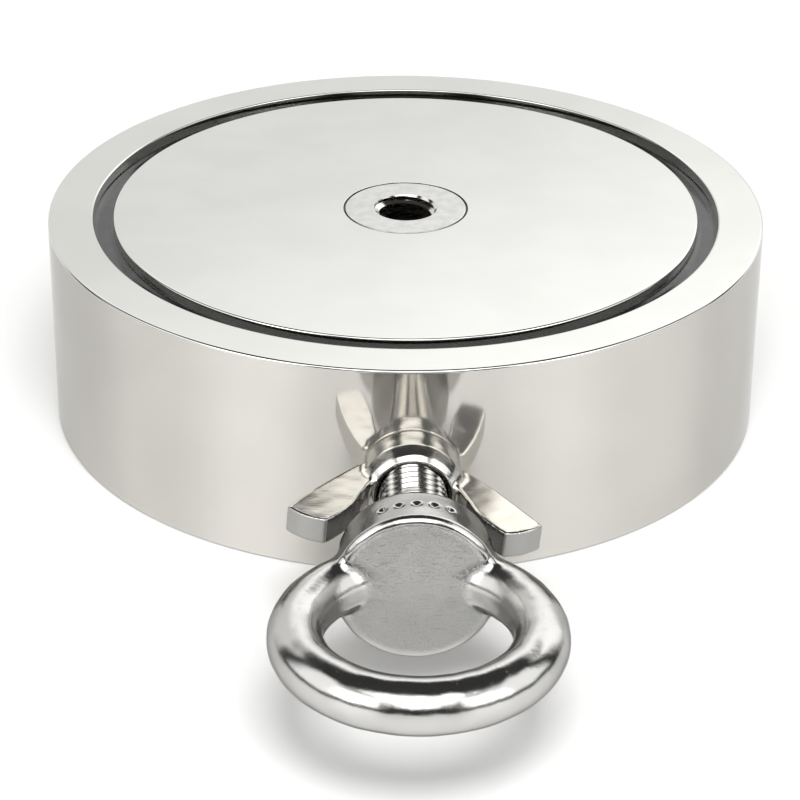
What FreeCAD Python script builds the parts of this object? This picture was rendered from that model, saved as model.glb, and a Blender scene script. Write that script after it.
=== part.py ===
"""Double-sided magnet-fishing magnet with a side eyebolt and a wing nut.

Units are millimetres. The origin is the centre of the steel casing, where the axis
of the through thread (Z) crosses the axis of the eyebolt (Y). The eyebolt points
towards -Y. Distances along the eyebolt are "reach": the distance from the origin
towards -Y. Every piece that comes apart on a bench is written to its own STEP file.
"""
import FreeCAD, Part
import math
import os

from FreeCAD import Rotation, Vector

# ---------------------------------------------------------------- driving dimensions
CASING_RADIUS = 68.0
CASING_HEIGHT = 40.0
CASING_CHAMFER = 0.45
POCKET_RADIUS = 59.5
POCKET_CHAMFER = 0.3
WEB_THICKNESS = 16.0

MAGNET_RADIUS = 55.7
MAGNET_CHAMFER = 0.35
FACE_RECESS = 0.2
BED_THICKNESS = 0.3
GAP_RESIN_RECESS = 2.4
SEAM_WIDTH = 0.35
SEAM_RESIN_RECESS = 0.25

BUSH_RADIUS = 11.55
BUSH_FIT = 0.02
BUSH_CHAMFER = 0.15
THREAD_RADIUS = 6.0
THREAD_BORE_RADIUS = 5.1
THREAD_MOUTH_RADIUS = 6.05
RUNNING_FIT = 0.05

SHANK_LENGTH = 50.0
SHANK_TIP_CHAMFER = 0.9
SIDE_HOLE_DEPTH = 24.0
DRILL_POINT_ANGLE = 118.0

COLLAR_BACK_REACH = 96.3
COLLAR_FRONT_REACH = 105.9
COLLAR_BACK_RADIUS = 12.85
COLLAR_RADIUS = 13.4
COLLAR_BACK_EDGE = 0.5
COLLAR_FRONT_EDGE = 1.3

RING_REACH = 119.4
RING_RADIUS = 19.39
RING_SECTION_RADIUS = 4.57

NUT_SEAT_GAP = 0.05
NUT_TURN = -5.2
HUB_RADIUS = 8.6
HUB_SHOULDER = 5.0
HUB_NECK_RADIUS = 8.05
HUB_NECK = 7.15
HUB_CREST_RADIUS = 7.5
HUB_CREST = 7.95
HUB_HEIGHT = 8.35
HUB_BASE_CHAMFER = 0.35
WING_THICKNESS = 4.75
WING_ROOT_RADIUS = 7.2
WING_EDGE_RADIUS = 0.55

# ------------------------------------------------------------------- derived values
HALF_HEIGHT = CASING_HEIGHT / 2
HALF_WEB = WEB_THICKNESS / 2
FACE_Z = HALF_HEIGHT - FACE_RECESS
SEAM_RADIUS = BUSH_RADIUS + SEAM_WIDTH
HOLE_RADIUS = THREAD_RADIUS + RUNNING_FIT

X_AXIS = Vector(1, 0, 0)
Y_AXIS = Vector(0, 1, 0)
Z_AXIS = Vector(0, 0, 1)
ORIGIN = Vector(0, 0, 0)
FULL_TURN = 360


def axial_point(radius, height):
    """A point of a profile that turns about the magnet's axis."""
    return Vector(radius, 0, height)


def bolt_point(radius, reach):
    """A point of a profile that turns about the eyebolt's axis."""
    return Vector(radius, -reach, 0)


def closed_face(points):
    """A flat face inside a closed run of straight edges."""
    return Part.Face(Part.makePolygon(points + points[:1]))


def turned(profile, place, axis):
    """The solid that a profile of (radius, position) pairs sweeps about an axis."""
    face = closed_face([place(radius, position) for radius, position in profile])
    return face.revolve(ORIGIN, axis, FULL_TURN)


def mirrored_pair(shape):
    """A piece of the upper face and its twin on the lower face."""
    return shape, shape.mirror(ORIGIN, Z_AXIS)


# ------------------------------------------------------------------------ the magnet
def make_side_hole():
    """The blind hole for the eyebolt, with its drill point."""
    mouth = CASING_RADIUS + 1
    floor = CASING_RADIUS - SIDE_HOLE_DEPTH
    point = floor - HOLE_RADIUS / math.tan(math.radians(DRILL_POINT_ANGLE / 2))
    profile = [(0, mouth), (HOLE_RADIUS, mouth), (HOLE_RADIUS, floor), (0, point)]
    return turned(profile, bolt_point, Y_AXIS)


def make_casing():
    """The steel casing: a rim and a middle web in one piece, bored for the bush."""
    bore = BUSH_RADIUS + BUSH_FIT
    upper = [
        (bore, HALF_WEB),
        (POCKET_RADIUS, HALF_WEB),
        (POCKET_RADIUS, HALF_HEIGHT - POCKET_CHAMFER),
        (POCKET_RADIUS + POCKET_CHAMFER, HALF_HEIGHT),
        (CASING_RADIUS - CASING_CHAMFER, HALF_HEIGHT),
        (CASING_RADIUS, HALF_HEIGHT - CASING_CHAMFER),
    ]
    lower = [(radius, -height) for radius, height in reversed(upper)]
    return turned(upper + lower, axial_point, Z_AXIS).cut(make_side_hole())


def make_centre_bush():
    """The threaded sleeve through the middle of the web and of both magnets."""
    mouth_depth = THREAD_MOUTH_RADIUS - THREAD_BORE_RADIUS
    upper = [
        (THREAD_BORE_RADIUS, FACE_Z - mouth_depth),
        (THREAD_MOUTH_RADIUS, FACE_Z),
        (BUSH_RADIUS - BUSH_CHAMFER, FACE_Z),
        (BUSH_RADIUS, FACE_Z - BUSH_CHAMFER),
    ]
    lower = [(radius, -height) for radius, height in reversed(upper)]
    return turned(upper + lower, axial_point, Z_AXIS)


def make_upper_magnet():
    """A nickel-plated magnet ring, set just below the rim."""
    profile = [
        (SEAM_RADIUS, HALF_WEB + BED_THICKNESS),
        (MAGNET_RADIUS, HALF_WEB + BED_THICKNESS),
        (MAGNET_RADIUS, FACE_Z - MAGNET_CHAMFER),
        (MAGNET_RADIUS - MAGNET_CHAMFER, FACE_Z),
        (SEAM_RADIUS, FACE_Z),
    ]
    return turned(profile, axial_point, Z_AXIS)


def make_band(inner, outer, bottom, top):
    """A plain ring between two radii and two heights, for the poured resin."""
    profile = [(inner, bottom), (outer, bottom), (outer, top), (inner, top)]
    return turned(profile, axial_point, Z_AXIS)


def make_upper_resins():
    """The resin in the gap round a magnet, in its bed and in the seam at the bush."""
    gap_top = HALF_HEIGHT - GAP_RESIN_RECESS
    seam_top = FACE_Z - SEAM_RESIN_RECESS
    bed_top = HALF_WEB + BED_THICKNESS
    return {
        "gap_resin": make_band(MAGNET_RADIUS, POCKET_RADIUS, HALF_WEB, gap_top),
        "bed_adhesive": make_band(SEAM_RADIUS, MAGNET_RADIUS, HALF_WEB, bed_top),
        "seam_resin": make_band(BUSH_RADIUS, SEAM_RADIUS, HALF_WEB, seam_top),
    }


# ----------------------------------------------------------------------- the eyebolt
def make_shank():
    """The threaded shank, from its tip in the side hole to the inside of the collar."""
    tip = COLLAR_BACK_REACH - SHANK_LENGTH
    end = COLLAR_BACK_REACH + 1
    profile = [
        (0, tip),
        (THREAD_RADIUS - SHANK_TIP_CHAMFER, tip),
        (THREAD_RADIUS, tip + SHANK_TIP_CHAMFER),
        (THREAD_RADIUS, end),
        (0, end),
    ]
    return turned(profile, bolt_point, Y_AXIS)


def make_collar():
    """The forged collar under the eye: slightly tapered, with a rounded front edge."""
    front_edge = COLLAR_FRONT_REACH - COLLAR_FRONT_EDGE
    blend_mid = COLLAR_FRONT_EDGE * (1 - math.sqrt(0.5))
    outline = [
        Part.LineSegment(bolt_point(0, COLLAR_BACK_REACH),
                         bolt_point(COLLAR_BACK_RADIUS - COLLAR_BACK_EDGE, COLLAR_BACK_REACH)),
        Part.LineSegment(bolt_point(COLLAR_BACK_RADIUS - COLLAR_BACK_EDGE, COLLAR_BACK_REACH),
                         bolt_point(COLLAR_BACK_RADIUS, COLLAR_BACK_REACH + COLLAR_BACK_EDGE)),
        Part.LineSegment(bolt_point(COLLAR_BACK_RADIUS, COLLAR_BACK_REACH + COLLAR_BACK_EDGE),
                         bolt_point(COLLAR_RADIUS, front_edge)),
        Part.Arc(bolt_point(COLLAR_RADIUS, front_edge),
                 bolt_point(COLLAR_RADIUS - blend_mid, COLLAR_FRONT_REACH - blend_mid),
                 bolt_point(COLLAR_RADIUS - COLLAR_FRONT_EDGE, COLLAR_FRONT_REACH)),
        Part.LineSegment(bolt_point(COLLAR_RADIUS - COLLAR_FRONT_EDGE, COLLAR_FRONT_REACH),
                         bolt_point(0, COLLAR_FRONT_REACH)),
        Part.LineSegment(bolt_point(0, COLLAR_FRONT_REACH), bolt_point(0, COLLAR_BACK_REACH)),
    ]
    wire = Part.Wire([curve.toShape() for curve in outline])
    return Part.Face(wire).revolve(ORIGIN, Y_AXIS, FULL_TURN)


def make_eyebolt():
    """The eyebolt: shank, collar and ring in one forging."""
    ring = Part.makeTorus(RING_RADIUS, RING_SECTION_RADIUS, bolt_point(0, RING_REACH), Z_AXIS)
    return make_shank().fuse([make_collar(), ring])


# ---------------------------------------------------------------------- the wing nut
def nut_reach(height):
    """The reach of a height above the nut's seat on the casing."""
    return CASING_RADIUS + NUT_SEAT_GAP + height


def make_hub():
    """The nut's round body, with a domed front and a running bore."""
    profile = [
        (HOLE_RADIUS, 0),
        (HUB_RADIUS - HUB_BASE_CHAMFER, 0),
        (HUB_RADIUS, HUB_BASE_CHAMFER),
        (HUB_RADIUS, HUB_SHOULDER),
        (HUB_NECK_RADIUS, HUB_NECK),
        (HUB_CREST_RADIUS, HUB_CREST),
        (HOLE_RADIUS, HUB_HEIGHT),
    ]
    raised = [(radius, nut_reach(height)) for radius, height in profile]
    return turned(raised, bolt_point, Y_AXIS)


def make_wing(side):
    """One flat wing that leans outwards and forwards; side is 1 or -1 along X."""
    thickness = Z_AXIS * (WING_THICKNESS / 2)

    def point(radius, height):
        return Vector(side * radius, -nut_reach(height), 0) - thickness

    root_back = point(WING_ROOT_RADIUS, 1.6)
    heel = point(9.75, 2.4)
    heel_mid = point(16.0, 10.2)
    tip_back = point(21.45, 18.3)
    tip_mid = point(18.75, 20.55)
    tip_front = point(15.0, 21.9)
    throat_mid = point(11.3, 17.2)
    throat = point(9.3, 12.4)
    root_front = point(WING_ROOT_RADIUS, 7.6)
    outline = [
        Part.LineSegment(root_back, heel),
        Part.Arc(heel, heel_mid, tip_back),
        Part.Arc(tip_back, tip_mid, tip_front),
        Part.Arc(tip_front, throat_mid, throat),
        Part.LineSegment(throat, root_front),
        Part.LineSegment(root_front, root_back),
    ]
    wire = Part.Wire([curve.toShape() for curve in outline])
    wing = Part.Face(wire).extrude(thickness * 2)
    free_end = Vector(side * WING_ROOT_RADIUS, 0, 0)
    rounded = [edge for edge in wing.Edges
               if side * (edge.CenterOfMass - free_end).x > 1]
    return wing.makeFillet(WING_EDGE_RADIUS, rounded)


def make_wing_nut():
    """The wing nut, turned a few degrees about the shank as it was last tightened."""
    nut = make_hub().fuse([make_wing(1), make_wing(-1)])
    nut.rotate(ORIGIN, -Y_AXIS, NUT_TURN)
    return nut


# --------------------------------------------------------------------------- output
def make_nodes():
    """Every piece of the magnet, by name."""
    nodes = {
        "casing": make_casing(),
        "centre_bush": make_centre_bush(),
        "eyebolt": make_eyebolt(),
        "wing_nut": make_wing_nut(),
    }
    nodes["upper_magnet"], nodes["lower_magnet"] = mirrored_pair(make_upper_magnet())
    for name, resin in make_upper_resins().items():
        nodes["upper_" + name], nodes["lower_" + name] = mirrored_pair(resin)
    return nodes


def main():
    """Write one STEP file per piece and say what each one measures."""
    os.makedirs("parts", exist_ok=True)
    for name, shape in sorted(make_nodes().items()):
        if not shape.isValid() or len(shape.Solids) != 1:
            raise ValueError(f"{name} is not one sound solid")
        box = shape.BoundBox
        print(f"{name:20s} {shape.Volume:10.1f} mm3  "
              f"x {box.XMin:7.2f} {box.XMax:7.2f}  y {box.YMin:7.2f} {box.YMax:7.2f}  "
              f"z {box.ZMin:7.2f} {box.ZMax:7.2f}")
        shape.Solids[0].exportStep(f"parts/{name}.step")


main()
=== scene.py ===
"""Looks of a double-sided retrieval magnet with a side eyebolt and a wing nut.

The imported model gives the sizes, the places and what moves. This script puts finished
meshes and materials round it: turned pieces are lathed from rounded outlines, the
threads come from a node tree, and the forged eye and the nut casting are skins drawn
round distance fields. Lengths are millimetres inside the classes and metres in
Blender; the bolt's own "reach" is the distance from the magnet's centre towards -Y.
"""

import logging
import math
from dataclasses import dataclass
from enum import Enum
from typing import Any, Callable, Sequence

import bmesh
import bpy
import numpy as np
from mathutils import Matrix, Vector


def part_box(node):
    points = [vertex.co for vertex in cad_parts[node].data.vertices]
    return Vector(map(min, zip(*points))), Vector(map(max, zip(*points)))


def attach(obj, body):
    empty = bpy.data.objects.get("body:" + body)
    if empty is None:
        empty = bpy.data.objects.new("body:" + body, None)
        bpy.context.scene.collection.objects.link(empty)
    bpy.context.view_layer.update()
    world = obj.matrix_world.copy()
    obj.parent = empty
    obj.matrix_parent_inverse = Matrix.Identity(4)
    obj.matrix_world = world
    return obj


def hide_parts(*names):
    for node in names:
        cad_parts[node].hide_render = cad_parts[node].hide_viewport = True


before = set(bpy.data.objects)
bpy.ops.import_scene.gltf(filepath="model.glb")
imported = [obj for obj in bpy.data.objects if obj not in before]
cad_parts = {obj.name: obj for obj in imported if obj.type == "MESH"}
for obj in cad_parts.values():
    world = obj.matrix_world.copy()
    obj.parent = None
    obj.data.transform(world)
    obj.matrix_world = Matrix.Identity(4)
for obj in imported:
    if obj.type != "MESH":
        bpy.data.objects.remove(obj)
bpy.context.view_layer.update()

LOG = logging.getLogger("magnet")
MM = 0.001
TURN = 2 * math.pi

Colour = tuple[float, float, float]
Distance = Callable[[np.ndarray], np.ndarray]


class Body(Enum):
    """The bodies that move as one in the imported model."""

    MAGNET = "magnet"
    EYEBOLT = "eyebolt"
    WING_NUT = "wing_nut"


class Slot(Enum):
    """The record's material slots."""

    CASING = "casing_nickel"
    MAGNET = "magnet_nickel"
    BUSH = "bush_steel"
    RESIN = "black_resin"
    FORGING = "forged_steel"
    NUT = "nut_steel"


class Side(Enum):
    """The two faces of the magnet, by the sign of their height."""

    UPPER = 1
    LOWER = -1


# ------------------------------------------------------------------ node expressions
class Value:
    """A number that changes over a surface: one output socket, with arithmetic."""

    def __init__(self, graph: "Graph", socket: bpy.types.NodeSocket) -> None:
        """Wrap one output socket of a graph."""
        self.graph = graph
        self.socket = socket

    def _with(self, operation: str, *operands: Any) -> "Value":
        """Add one Math node."""
        return self.graph.maths(operation, *operands)

    def __add__(self, other: Any) -> "Value":
        """self + other"""
        return self._with("ADD", self, other)

    __radd__ = __add__

    def __sub__(self, other: Any) -> "Value":
        """self - other"""
        return self._with("SUBTRACT", self, other)

    def __rsub__(self, other: Any) -> "Value":
        """other - self"""
        return self._with("SUBTRACT", other, self)

    def __mul__(self, other: Any) -> "Value":
        """self * other"""
        return self._with("MULTIPLY", self, other)

    __rmul__ = __mul__

    def __truediv__(self, other: Any) -> "Value":
        """self / other"""
        return self._with("DIVIDE", self, other)

    def __abs__(self) -> "Value":
        """abs(self)"""
        return self._with("ABSOLUTE", self)

    def least(self, other: Any) -> "Value":
        """The smaller of the two."""
        return self._with("MINIMUM", self, other)

    def most(self, other: Any) -> "Value":
        """The larger of the two."""
        return self._with("MAXIMUM", self, other)

    def step(self, low: float, high: float) -> "Value":
        """A smooth step: 0 below low, 1 above high.

        Args:
            low: the value where the step starts.
            high: the value where it ends.

        Returns:
            The stepped value.
        """
        ramp = self.graph.node(
            "ShaderNodeMapRange",
            {"interpolation_type": "SMOOTHSTEP"},
            {"Value": self, "From Min": low, "From Max": high},
        )
        return Value(self.graph, ramp.outputs["Result"])


class Graph:
    """A node tree that is written as expressions."""

    def __init__(self, tree: bpy.types.NodeTree) -> None:
        """Start from an empty tree."""
        self.tree = tree
        tree.nodes.clear()

    def node(self, kind: str, settings: dict[str, Any] | None = None,
             sockets: dict[Any, Any] | None = None) -> bpy.types.Node:
        """Add one node.

        Args:
            kind: the node's type name.
            settings: its properties, set before its sockets.
            sockets: values, Values or sockets by input name or index.

        Returns:
            The node.
        """
        made = self.tree.nodes.new(kind)
        for key, value in (settings or {}).items():
            setattr(made, key, value)
        for key, value in (sockets or {}).items():
            source = value.socket if isinstance(value, Value) else value
            if isinstance(source, bpy.types.NodeSocket):
                self.tree.links.new(source, made.inputs[key])
            else:
                made.inputs[key].default_value = source
        return made

    def maths(self, operation: str, *operands: Any) -> Value:
        """One Math node on values or numbers."""
        made = self.node("ShaderNodeMath", {"operation": operation}, dict(enumerate(operands)))
        return Value(self, made.outputs[0])

    def vector(self, operation: str, *operands: Any) -> bpy.types.NodeSocket:
        """One Vector Math node on vectors."""
        made = self.node("ShaderNodeVectorMath", {"operation": operation},
                         dict(enumerate(operands)))
        return made.outputs[0]

    def parts(self, vector: bpy.types.NodeSocket) -> tuple[Value, Value, Value]:
        """The three components of a vector."""
        split = self.node("ShaderNodeSeparateXYZ", {}, {0: vector})
        return tuple(Value(self, output) for output in split.outputs)

    def joined(self, x: Any, y: Any, z: Any) -> bpy.types.NodeSocket:
        """A vector from three components."""
        return self.node("ShaderNodeCombineXYZ", {}, {0: x, 1: y, 2: z}).outputs[0]

    def place(self) -> bpy.types.NodeSocket:
        """The shaded point in the piece's own millimetres."""
        coordinates = self.node("ShaderNodeTexCoord").outputs["Object"]
        return self.vector("MULTIPLY", coordinates, (1 / MM,) * 3)

    def noise(self, vector: bpy.types.NodeSocket, scale: float, detail: float = 2.0,
              roughness: float = 0.5) -> Value:
        """Noise from 0 to 1.

        Args:
            vector: where it is read, in millimetres.
            scale: features per millimetre.
            detail: octaves.
            roughness: how strong the finer octaves are.

        Returns:
            The noise's value.
        """
        made = self.node("ShaderNodeTexNoise", {"noise_dimensions": "3D"},
                         {"Vector": vector, "Scale": scale, "Detail": detail,
                          "Roughness": roughness})
        return Value(self, made.outputs[0])

    def cells(self, vector: bpy.types.NodeSocket, scale: float) -> Value:
        """The distance to the nearest of many scattered points."""
        made = self.node("ShaderNodeTexVoronoi", {"feature": "F1"},
                         {"Vector": vector, "Scale": scale})
        return Value(self, made.outputs["Distance"])

    def blend(self, share: Any, low: Any, high: Any) -> bpy.types.NodeSocket:
        """A colour between two colours.

        Args:
            share: 0 for the first colour, 1 for the second.
            low: the first colour.
            high: the second colour.

        Returns:
            The colour socket.
        """
        made = self.node("ShaderNodeMix", {"data_type": "RGBA"})
        for name, value in (("Factor_Float", share), ("A_Color", low), ("B_Color", high)):
            target = next(s for s in made.inputs if s.identifier == name)
            source = value.socket if isinstance(value, Value) else value
            if isinstance(source, bpy.types.NodeSocket):
                self.tree.links.new(source, target)
            else:
                target.default_value = (*source, 1.0) if isinstance(source, tuple) else source
        return next(s for s in made.outputs if s.identifier == "Result_Color")

    def bump(self, height: Value, depth: float) -> bpy.types.NodeSocket:
        """A bumped normal.

        Args:
            height: the relief, from 0 to 1.
            depth: the relief's full depth in millimetres.

        Returns:
            The normal socket.
        """
        made = self.node("ShaderNodeBump", {}, {"Height": height, "Distance": depth * MM,
                                                "Strength": 1.0})
        return made.outputs["Normal"]


# -------------------------------------------------------------------------- finishes
@dataclass(frozen=True)
class Metal:
    """What every bare or plated metal here shares.

    Each kind of metal says how its colour, roughness and relief change.
    """

    name: str
    colour: Colour
    roughness: float
    stretch: float = 0.0
    edge: float = 1.0

    def relief(self, graph: Graph) -> tuple[bpy.types.NodeSocket, Value, bpy.types.NodeSocket]:
        """Colour, roughness and normal over the surface; each metal has its own.

        Args:
            graph: the material's node tree.

        Returns:
            The colour, the roughness and the bumped normal.
        """
        raise NotImplementedError

    def lobe(self, graph: Graph, colour: bpy.types.NodeSocket, roughness: Any,
             normal: bpy.types.NodeSocket, stretch: float) -> bpy.types.NodeSocket:
        """One metallic shader.

        Args:
            graph: where it is added.
            colour: the metal's colour over the surface.
            roughness: its roughness.
            normal: its bumped normal.
            stretch: how far reflections are drawn out along the axis.

        Returns:
            The shader's output.
        """
        return graph.node(
            "ShaderNodeBsdfPrincipled", {},
            {"Base Color": colour, "Metallic": 1.0, "Roughness": roughness,
             "Normal": normal, "Anisotropic": stretch, "Anisotropic Rotation": 0.25,
             "Specular Tint": (self.edge, self.edge, self.edge, 1.0)},
        ).outputs[0]

    def surface(self, graph: Graph) -> bpy.types.NodeSocket:
        """The metal's shader, from its relief."""
        return self.lobe(graph, *self.relief(graph), self.stretch)

    def material(self) -> bpy.types.Material:
        """Build the material.

        Returns:
            The finished material.
        """
        made = bpy.data.materials.new(self.name)
        made.use_nodes = True
        graph = Graph(made.node_tree)
        graph.node("ShaderNodeOutputMaterial", {}, {"Surface": self.surface(graph)})
        return made


@dataclass(frozen=True)
class TurnedWall(Metal):
    """Nickel over a wall that was turned on a lathe: hairlines run round it."""

    line_depth: float = 0.0011
    smear: float = 0.55
    smeared_share: float = 0.20

    def relief(self, graph: Graph) -> tuple[bpy.types.NodeSocket, Value, bpy.types.NodeSocket]:
        """Fine rings up the wall, with slow changes of tone round it.

        Args:
            graph: the material's node tree.

        Returns:
            The colour, the roughness and the bumped normal.
        """
        place = graph.place()
        rings = graph.vector("MULTIPLY", place, (0.10, 0.10, 7.0))
        lines = graph.noise(rings, 1.0, 3.0, 0.6)
        clouds = graph.noise(place, 0.05, 2.0)
        dark = tuple(0.94 * channel for channel in self.colour)
        colour = graph.blend(clouds.step(0.3, 0.7), dark, self.colour)
        roughness = self.roughness + 0.06 * (lines - 0.5)
        return colour, roughness, graph.bump(lines, self.line_depth)

    def surface(self, graph: Graph) -> bpy.types.NodeSocket:
        """A mirror and, from the hairlines, a tall smear of light across them.

        Args:
            graph: the material's node tree.

        Returns:
            The mixed shader's output.
        """
        colour, roughness, normal = self.relief(graph)
        mirror = self.lobe(graph, colour, roughness, normal, self.stretch)
        smeared = self.lobe(graph, colour, self.smear, normal, 0.97)
        return graph.node("ShaderNodeMixShader", {},
                          {0: self.smeared_share, 1: mirror, 2: smeared}).outputs[0]


@dataclass(frozen=True)
class MirrorFace(Metal):
    """Bright nickel plating on a lapped face: near a mirror, with faint wipe marks."""

    def relief(self, graph: Graph) -> tuple[bpy.types.NodeSocket, Value, bpy.types.NodeSocket]:
        """Clouds of haze and a very fine peel.

        Args:
            graph: the material's node tree.

        Returns:
            The colour, the roughness and the bumped normal.
        """
        place = graph.place()
        haze = graph.noise(place, 0.06, 3.0)
        peel = graph.noise(place, 0.7, 2.0)
        grain = graph.noise(place, 9.0, 1.0)
        dark = tuple(0.965 * channel for channel in self.colour)
        colour = graph.blend(haze.step(0.35, 0.65), dark, self.colour)
        roughness = self.roughness + 0.04 * haze + 0.02 * grain
        return colour, roughness, graph.bump(peel, 0.0006)


@dataclass(frozen=True)
class FacedSteel(Metal):
    """A steel face cut on a lathe: rings round the middle."""

    def relief(self, graph: Graph) -> tuple[bpy.types.NodeSocket, Value, bpy.types.NodeSocket]:
        """Concentric tool marks, and streaks where they catch the light.

        Args:
            graph: the material's node tree.

        Returns:
            The colour, the roughness and the bumped normal.
        """
        place = graph.place()
        x, y, z = graph.parts(place)
        radius = graph.maths("SQRT", x * x + y * y)
        rings = graph.noise(graph.joined(radius * 6.0, z, 0.0), 1.0, 2.0)
        haze = graph.noise(place, 0.5, 2.0)
        dark = tuple(0.88 * channel for channel in self.colour)
        colour = graph.blend(haze.step(0.3, 0.7), dark, self.colour)
        roughness = self.roughness + 0.1 * (rings - 0.5)
        return colour, roughness, graph.bump(rings, 0.002)


@dataclass(frozen=True)
class TumbledSteel(Metal):
    """Forged stainless steel, tumbled bright: a soft peel, pits and stray scratches."""

    face_reach: float = 105.9
    face_radius: float = 12.2

    def relief(self, graph: Graph) -> tuple[bpy.types.NodeSocket, Value, bpy.types.NodeSocket]:
        """Bright all over, but dull and pitted on the collar's flat face.

        Args:
            graph: the material's node tree.

        Returns:
            The colour, the roughness and the bumped normal.
        """
        place = graph.place()
        x, y, z = graph.parts(place)
        off_axis = graph.maths("SQRT", x * x + z * z)
        flat = (-1.0 * y).step(self.face_reach - 0.35, self.face_reach - 0.1)
        flat = flat * (1.0 - (-1.0 * y).step(self.face_reach + 0.5, self.face_reach + 1.2))
        flat = flat * (1.0 - off_axis.step(self.face_radius - 1.0, self.face_radius + 0.4))
        peel = graph.noise(place, 1.3, 4.0, 0.62)
        brushed = graph.vector("MULTIPLY", graph.joined(x + y, x - y, z), (0.8, 3.2, 3.2))
        grain = graph.noise(brushed, 1.6, 3.0, 0.65)
        wide = graph.noise(place, 0.22, 2.0)
        pits = 1.0 - graph.cells(place, 1.5).step(0.04, 0.22)
        pits = pits * graph.noise(place, 0.5, 1.0).step(0.5, 0.68)
        specks = graph.noise(place, 3.2, 3.0, 0.7).step(0.53, 0.66)
        scratch_field = graph.vector("MULTIPLY", place, (0.45, 3.0, 5.0))
        scratches = graph.noise(scratch_field, 1.0, 3.0, 0.6).step(0.56, 0.68)
        worn = flat * (0.55 + 0.45 * specks + 0.35 * scratches)
        dull = tuple(0.62 * channel for channel in self.colour)
        colour = graph.blend((worn + wide.step(0.4, 0.8) * 0.1).least(1.0), self.colour, dull)
        roughness = self.roughness + 0.12 * (peel - 0.5) + 0.14 * (grain - 0.5) + flat * 0.18
        height = 0.5 * peel + 0.35 * grain - 0.5 * pits - flat * (0.3 * scratches + 0.8 * specks)
        return colour, roughness, graph.bump(height, 0.036)


@dataclass(frozen=True)
class GroundSteel(Metal):
    """Cast stainless steel, ground flat and polished: straight belt marks."""

    depth: float = 0.6

    def relief(self, graph: Graph) -> tuple[bpy.types.NodeSocket, Value, bpy.types.NodeSocket]:
        """Belt marks across the wings over a soft waviness.

        Args:
            graph: the material's node tree.

        Returns:
            The colour, the roughness and the bumped normal.
        """
        place = graph.place()
        belt = graph.vector("MULTIPLY", place, (0.3, 4.0, 3.0))
        marks = graph.noise(belt, 1.0, 3.0, 0.6)
        wave = graph.noise(place, 0.35, 2.0)
        grain = graph.noise(place, 8.0, 1.0)
        warm = (self.colour[0], self.colour[1] * 0.99, self.colour[2] * 0.95)
        colour = graph.blend(wave.step(0.35, 0.65), self.colour, warm)
        roughness = self.roughness + 0.16 * (marks - 0.5) + 0.04 * grain
        height = self.depth * marks + 0.45 * wave
        return colour, roughness, graph.bump(height, 0.015)


@dataclass(frozen=True)
class PouredResin:
    """Black epoxy that was poured in and left to level."""

    name: str = "black_epoxy"
    colour: Colour = (0.006, 0.006, 0.0065)
    roughness: float = 0.10

    def material(self) -> bpy.types.Material:
        """Build the material.

        Returns:
            The finished material.
        """
        made = bpy.data.materials.new(self.name)
        made.use_nodes = True
        graph = Graph(made.node_tree)
        place = graph.place()
        swirl = graph.noise(place, 0.25, 3.0)
        specks = graph.cells(place, 1.1).step(0.05, 0.2)
        dusty = tuple(3.5 * channel for channel in self.colour)
        shader = graph.node(
            "ShaderNodeBsdfPrincipled", {},
            {"Base Color": graph.blend(swirl.step(0.45, 0.8), self.colour, dusty),
             "Roughness": self.roughness + 0.12 * swirl,
             "Normal": graph.bump(0.8 * swirl + 0.2 * specks, 0.06)},
        )
        graph.node("ShaderNodeOutputMaterial", {}, {"Surface": shader.outputs[0]})
        return made


@dataclass(frozen=True)
class Finishes:
    """Every finish on the object, built once."""

    wall: bpy.types.Material
    rim: bpy.types.Material
    magnet: bpy.types.Material
    bush: bpy.types.Material
    resin: bpy.types.Material
    forging: bpy.types.Material
    thread: bpy.types.Material
    nut: bpy.types.Material
    sheared: bpy.types.Material
    # The next finish's near-black colour is painted shade and painted reflection of the dark collar,
    # laid on the wings' throats and the bore; only its roughness stands for a real unpolished surface.
    cast: bpy.types.Material

    @classmethod
    def build(cls) -> "Finishes":
        """Build all the materials.

        Returns:
            The finishes.
        """
        return cls(
            wall=TurnedWall("nickel_turned_wall", (0.615, 0.596, 0.562), 0.075, 0.75, 0.75).material(),
            rim=MirrorFace("nickel_rim", (0.63, 0.63, 0.605), 0.05).material(),
            magnet=MirrorFace("nickel_magnet_face", (0.64, 0.645, 0.62), 0.05).material(),
            bush=FacedSteel("faced_bush", (0.60, 0.60, 0.585), 0.14).material(),
            resin=PouredResin().material(),
            forging=TumbledSteel("tumbled_forging", (0.56, 0.556, 0.542), 0.125, edge=0.4).material(),
            thread=GroundSteel("rolled_thread", (0.62, 0.61, 0.59), 0.09, depth=0.1).material(),
            nut=GroundSteel("ground_nut", (0.66, 0.652, 0.63), 0.12, edge=0.6, depth=1.5).material(),
            sheared=GroundSteel("sheared_end", (0.36, 0.36, 0.355), 0.36, depth=1.4).material(),
            # Near-black colour: painted shade and painted reflection of the dark collar, for the
            # wings' throats and the bore; the roughness is the real unpolished surface.
            cast=GroundSteel("unpolished_painted_shade", (0.09, 0.089, 0.085), 0.24, depth=0.3).material(),
        )


# --------------------------------------------------------------------- turned pieces
@dataclass(frozen=True)
class Corner:
    """A corner of a turned outline, and the radius that it is rounded to."""

    radius: float
    height: float
    rounding: float = 0.08


ROUND_STEPS = 5
HOLD = 0.12
ALONG_SHARP = math.radians(34)


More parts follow.
